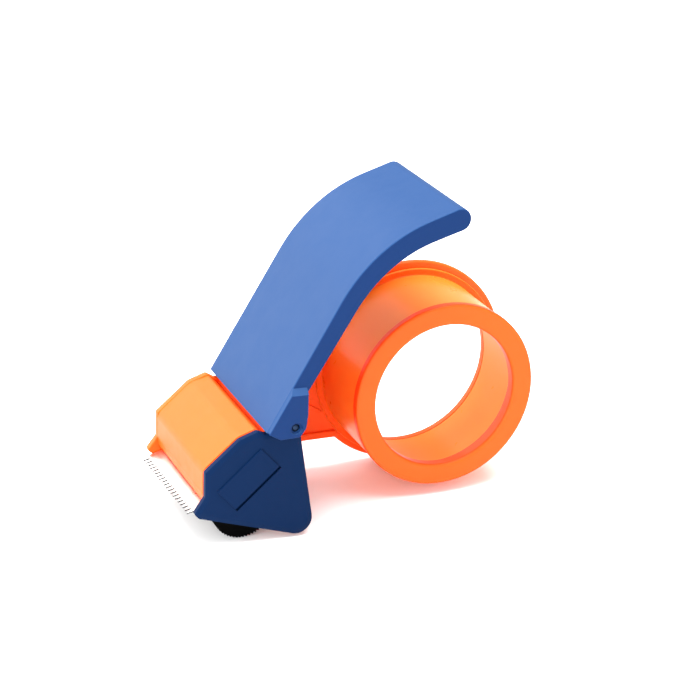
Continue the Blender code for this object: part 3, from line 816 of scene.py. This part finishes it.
def make_handle_pins():
    """Short pins through the two lugs, with domed heads."""
    for name, side in (("near", -1), ("far", 1)):
        end = side * PIN_ENDS[side]
        pin = solid_turned(f"handle_rivet_{name}", (
            (0, side * 20.0, 0), (1.3, side * 20.0, 0.3), (1.3, end - side * 0.3, 0.5), (0.5, end, 0.8),
            (0, end, 0)), HANDLE_PIN)
        piece(pin, "body", "zinc", shaded_zinc, f"handle_pin_{name}")


# ---------------------------------------------------------------- guard

def make_side_guard():
    """Side plate with a wide chamfer round its outer face, and a blank raised pad for a label."""
    corners = cheek_corners(BROW_NEAR)
    crest = -CHEEK_OUTER + 0.45
    stations = ((0.3, -CHEEK_INNER), (0.1, -CHEEK_INNER - 0.08), (0.0, -CHEEK_INNER - 0.3),
                (0.0, crest + 0.35), (0.08, crest + 0.12), (0.3, crest - 0.02),
                (1.6, -CHEEK_OUTER + 0.08), (1.9, -CHEEK_OUTER + 0.02), (2.2, -CHEEK_OUTER))
    work = bmesh.new()
    rings = []
    for distance, y in stations:
        outline = stepped(inward(corners, distance), GUARD_STEPS)
        rings.append([work.verts.new((p.x + FOOT_X, y, p.y)) for p in outline])
    count = len(rings[0])
    for here, there in zip(rings, rings[1:]):
        for index in range(count):
            following = (index + 1) % count
            work.faces.new((here[index], here[following], there[following], there[index]))
    work.faces.new(rings[0][::-1])
    work.faces.new(rings[-1])
    bmesh.ops.recalc_face_normals(work, faces=work.faces)
    mesh = bpy.data.meshes.new("guard_moulding")
    work.to_mesh(mesh)
    work.free()
    item = add_object("guard_moulding", mesh)
    along = Vector((math.cos(PAD_TURN), math.sin(PAD_TURN)))
    across = Vector((-along.y, along.x))
    centre = Vector(PAD_CENTRE)
    pad = [centre + along * a * 11.3 + across * b * 5.4 for a, b in ((-1, -1), (1, -1), (1, 1), (-1, 1))]
    item = join(item, plate("label_pad", pad, -CHEEK_OUTER - 0.5, -CHEEK_OUTER + 1.0, edge=0.12))
    low = centre - across * 6.0
    groove = [low + along * a * 11.5 + across * b * 0.7 for a, b in ((-1, -1), (1, -1), (1, 1), (-1, 1))]
    item = cut(item, plate("pad_groove", groove, -CHEEK_OUTER - 1.0, -CHEEK_OUTER + 1.1, edge=0.1))
    pegs = [rod(f"peg_{index}", peg, 1.8, -CHEEK_INNER - 1.0, -CHEEK_INNER + 7.5)
            for index, peg in enumerate(GUARD_PEGS)]
    item = join(item, *pegs)
    item = cut(item, rod("guard_pin_hole", HANDLE_PIN, 1.6, -36.0, -20.0, 48, 0.1),
               rod("guard_axle_hole", ROLLER, 1.8, -CHEEK_INNER - 2.0, -CHEEK_INNER + 4, 48, 0.1),
               rod("guard_flap_hole", FLAP_PIVOT, 1.5, -CHEEK_INNER - 2.0, -CHEEK_INNER + 4, 48, 0.1))
    return piece(item, "body", "blue", navy, "side_guard", degrees=25)


# ---------------------------------------------------------------- roller

def make_roller():
    """Ribbed tyre on a plastic core that turns on a steel axle."""
    points = []
    shape = ((0.0, 0.55), (0.10, 0.42), (0.2, 0.06), (0.3, 0.0), (0.55, 0.0), (0.65, 0.06), (0.75, 0.42),
             (0.85, 0.55))
    for step in range(RIB_COUNT):
        for share, drop in shape:
            turn = 2 * math.pi * (step + share) / RIB_COUNT
            points.append(Vector(ROLLER) + Vector((math.cos(turn), math.sin(turn))) * (ROLLER_RADIUS - drop))
    bore = circle(ROLLER, SLEEVE_BORE, 96)
    sleeve = plate("roller_tyre", points, -ROLLER_HALF, ROLLER_HALF, 0.12, (bore,), 1)
    piece(sleeve, "roller", "black_rubber", black_rubber, "roller_sleeve")
    end = CHEEK_INNER - 0.4
    core = turned("roller_hub", (
        (1.8, end, 0.2), (3.5, end, 0.3), (3.5, ROLLER_HALF, 0.3), (SLEEVE_BORE - GAP, ROLLER_HALF, 0.3),
        (SLEEVE_BORE - GAP, -ROLLER_HALF, 0.3), (3.5, -ROLLER_HALF, 0.3), (3.5, -end, 0.3),
        (1.8, -end, 0.2)), ROLLER, 96)
    piece(core, "roller", "white_plastic", white, "roller_core")
    axle = rod("roller_shaft", ROLLER, 1.5, -CHEEK_INNER - 1.6, CHEEK_INNER + 1.6)
    piece(axle, "body", "steel", steel, "roller_axle")


# ---------------------------------------------------------------- blade

def skewed(distance, y):
    """Point of the blade's apron, which reaches a little further forward towards the far side."""
    return (distance * (1 + BLADE_SKEW * (y / (2 * BLADE_HALF) + 0.5)), y)


def make_blade():
    """Bent strip: a toothed apron that points forward, and a leg behind the hood's front wall."""
    run = Vector(BLADE_TIP) - Vector(BLADE_BEND)
    pitch = 2 * BLADE_HALF / TOOTH_COUNT
    root = run.length - TOOTH_DEPTH
    outline = [(0, BLADE_HALF), (0, -BLADE_HALF), skewed(root, -BLADE_HALF)]
    for tooth in range(TOOTH_COUNT):
        left = -BLADE_HALF + tooth * pitch
        outline += [skewed(run.length, left + 0.35), skewed(root, left + pitch)]
    item = plate("serrated_blade", outline, -BLADE_THICKNESS / 2, BLADE_THICKNESS / 2, edge=0.05, steps=1)
    item.data.transform(Matrix.Translation((-FOOT_X, 0, 0)))
    lie_flat = Matrix.Rotation(math.pi / 2, 4, "X")
    face_nose = Matrix.Rotation(math.pi, 4, "Z")
    slope = Matrix.Rotation(-math.atan2(-run.y, -run.x), 4, "Y")
    place = Matrix.Translation((BLADE_BEND[0] + FOOT_X, 0, BLADE_BEND[1]))
    item.data.transform(place @ slope @ face_nose @ lie_flat)
    leg = rounded(((-101.3, 17.0, 0.1), (-100.8, 17.0, 0.1), (-100.8, 29.0, 0.1), (-101.3, 29.0, 0.1)), 30)
    item = join(item, plate("blade_leg", leg, -BLADE_HALF + 0.01, BLADE_HALF - 0.01, edge=0.08, steps=1))
    holes = []
    for index, y in enumerate(BLADE_SCREW_Y):
        holes.append(shift(along_x(rod(f"leg_hole_{index}", (0, 0), 1.3, -2, 2, 32, 0.1), -101.0), y=y,
                           z=BLADE_SCREW_Z))
    item = cut(item, *holes)
    piece(item, "body", "blade_steel", blade_steel, "cutting_blade", degrees=20)


def make_clamp():
    """Bar behind the blade's leg, and the screws that pull it against the hood."""
    bar = rounded(((-100.5, 22.5, 0.3), (-99.0, 22.5, 0.3), (-99.0, 29.0, 0.3), (-100.5, 29.0, 0.3)), 30)
    clamp = plate("blade_bar", bar, -BLADE_HALF, BLADE_HALF, edge=0.25)
    holes = []
    for index, y in enumerate(BLADE_SCREW_Y):
        holes.append(shift(along_x(rod(f"clamp_hole_{index}", (0, 0), 1.3, -3, 3, 32, 0.1), -99.5), y=y,
                           z=BLADE_SCREW_Z))
    piece(cut(clamp, *holes), "body", "zinc", zinc, "blade_clamp")
    for index, y in enumerate(BLADE_SCREW_Y):
        screw = solid_turned(f"blade_fixing_{index + 1}", (
            (0, -2.6, 0), (0.5, -2.4, 0.1), (0.9, -1.6, 0.2), (0.9, 2.35, 0.05), (2.0, 2.35, 0.15),
            (2.0, 3.0, 0.3), (1.2, 3.4, 0.6), (0, 3.4, 0)), (0, 0))
        screw = cut(screw, *cross_recess(f"blade_cross_{index}", (0, 0), 3.4, 0.7, 1.15))
        screw = shift(along_x(screw, -101.0), y=y, z=BLADE_SCREW_Z)
        piece(screw, "body", "zinc", zinc, f"blade_screw_{index + 1}")


# ---------------------------------------------------------------- flap

def make_flap():
    """Flap with two hinge barrels on a pin, and a torsion spring in the gap between them."""
    x, z = FLAP_PIVOT
    outline = rounded(((x - 1.6, z + 0.9, 0.2), (x + 1.4, z - 1.2, 0.2), (x - 7.2, z - 10.9, 0.5),
                       (x - 9.2, z - 10.6, 0.5)))
    item = plate("tape_brake", outline, -24.0, 24.0, edge=0.35)
    item = join(item, rod("barrel", FLAP_PIVOT, 2.4, -24.0, 24.0))
    item = cut(item, rod("spring_room", FLAP_PIVOT, 3.6, -6.0, 6.0),
               rod("barrel_bore", FLAP_PIVOT, 1.4, -30, 30))
    piece(item, "flap", "white_plastic", white, "tape_flap")
    pin = rod("flap_shaft", FLAP_PIVOT, 1.1, -CHEEK_INNER - 1.5, CHEEK_INNER + 1.5)
    piece(pin, "body", "steel", steel, "flap_pin")
    make_spring()


def make_spring():
    """Torsion spring: six turns round the pin and two short legs up to the hood."""
    turns, sides, radius = 6, 40, 2.0
    x, z = FLAP_PIVOT
    points = [(x - 1.5, 4.8, z + 5.5), (x - 1.2, 4.75, z + 4.2), (x - 0.7, 4.65, z + 2.8)]
    for step in range(turns * sides + 1):
        turn = math.pi / 2 + 2 * math.pi * step / sides
        y = 4.5 - 9.0 * step / (turns * sides)
        points.append((x + radius * math.cos(turn), y, z + radius * math.sin(turn)))
    points += [(x - 0.7, -4.65, z + 2.8), (x - 1.2, -4.75, z + 4.2), (x - 1.5, -4.8, z + 5.5)]
    curve = bpy.data.curves.new("brake_spring", "CURVE")
    curve.dimensions = "3D"
    curve.bevel_depth = 0.3
    curve.bevel_resolution = 3
    curve.use_fill_caps = True
    spline = curve.splines.new("POLY")
    spline.points.add(len(points) - 1)
    for point, (px, py, pz) in zip(spline.points, points):
        point.co = (px + FOOT_X, py, pz, 1)
    drawn = bpy.data.objects.new("brake_spring", curve)
    bpy.context.scene.collection.objects.link(drawn)
    item = baked(drawn)
    weld(item.data)
    piece(item, "body", "steel", steel, "flap_spring")


# ---------------------------------------------------------------- stage

WORLD_STRENGTH = 1.15
CAMERA_LENS = 106.1
CAMERA_TURNS = (-23.09, 21.70, 2.19)
CAMERA_AIM = (0.00564, 0.0275, 0.05387)
CAMERA_DISTANCE = 0.8


def make_floor():
    """Wide pale floor."""
    work = bmesh.new()
    bmesh.ops.create_grid(work, x_segments=8, y_segments=8, size=6.0)
    mesh = bpy.data.meshes.new("floor")
    work.to_mesh(mesh)
    work.free()
    floor = add_object("floor", mesh)
    nodes = Nodes("floor_paper")
    grain = nodes.noise(60.0, 4.0, 0.6)
    nodes.link(nodes.ramp(grain, ((0.3, (0.90, 0.90, 0.90)), (0.7, (0.93, 0.93, 0.93)))),
               nodes.shader.inputs["Base Color"])
    nodes.set(Roughness=0.9, Specular_IOR_Level=0.1)
    mesh.materials.append(nodes.made)


def area_light(name, place, aim, size, power):
    data = bpy.data.lights.new(name, "AREA")
    data.shape = "DISK"
    data.size = size
    data.energy = power
    item = bpy.data.objects.new(name, data)
    bpy.context.scene.collection.objects.link(item)
    item.location = place
    item.rotation_euler = (Vector(aim) - Vector(place)).to_track_quat("-Z", "Y").to_euler()


def make_lights():
    centre = (cad_low + cad_high) / 2
    area_light("top", (0.0, -0.12, 1.5), centre, 1.3, 46)
    area_light("back", (-0.8, 1.6, 0.7), centre, 2.2, 28)
    area_light("left", (-1.6, -0.35, 0.6), centre, 1.0, 20)
    area_light("front", (-1.0, -1.3, 0.5), centre, 1.3, 14)
    world = bpy.data.worlds.new("studio")
    bpy.context.scene.world = world
    world.use_nodes = True
    ground = world.node_tree.nodes["Background"]
    ground.inputs["Color"].default_value = (1, 1, 1, 1)
    ground.inputs["Strength"].default_value = WORLD_STRENGTH


def make_camera():
    data = bpy.data.cameras.new("camera")
    data.lens = CAMERA_LENS
    data.sensor_width = 36
    item = bpy.data.objects.new("camera", data)
    bpy.context.scene.collection.objects.link(item)
    azimuth, elevation, roll = map(math.radians, CAMERA_TURNS)
    flat = math.cos(elevation)
    back = Vector((math.sin(azimuth) * flat, -math.cos(azimuth) * flat, math.sin(elevation)))
    turn = (-back).to_track_quat("-Z", "Y") @ Matrix.Rotation(roll, 3, "Z").to_quaternion()
    item.location = Vector(CAMERA_AIM) + back * CAMERA_DISTANCE
    item.rotation_euler = turn.to_euler()
    bpy.context.scene.camera = item


make_body_frame()
make_tape_hub()
make_end_ring()
make_hub_screws()
make_handle()
make_handle_pins()
make_side_guard()
make_roller()
make_blade()
make_clamp()
make_flap()
make_floor()
make_lights()
make_camera()

bpy.context.scene.view_settings.view_transform = "Standard"
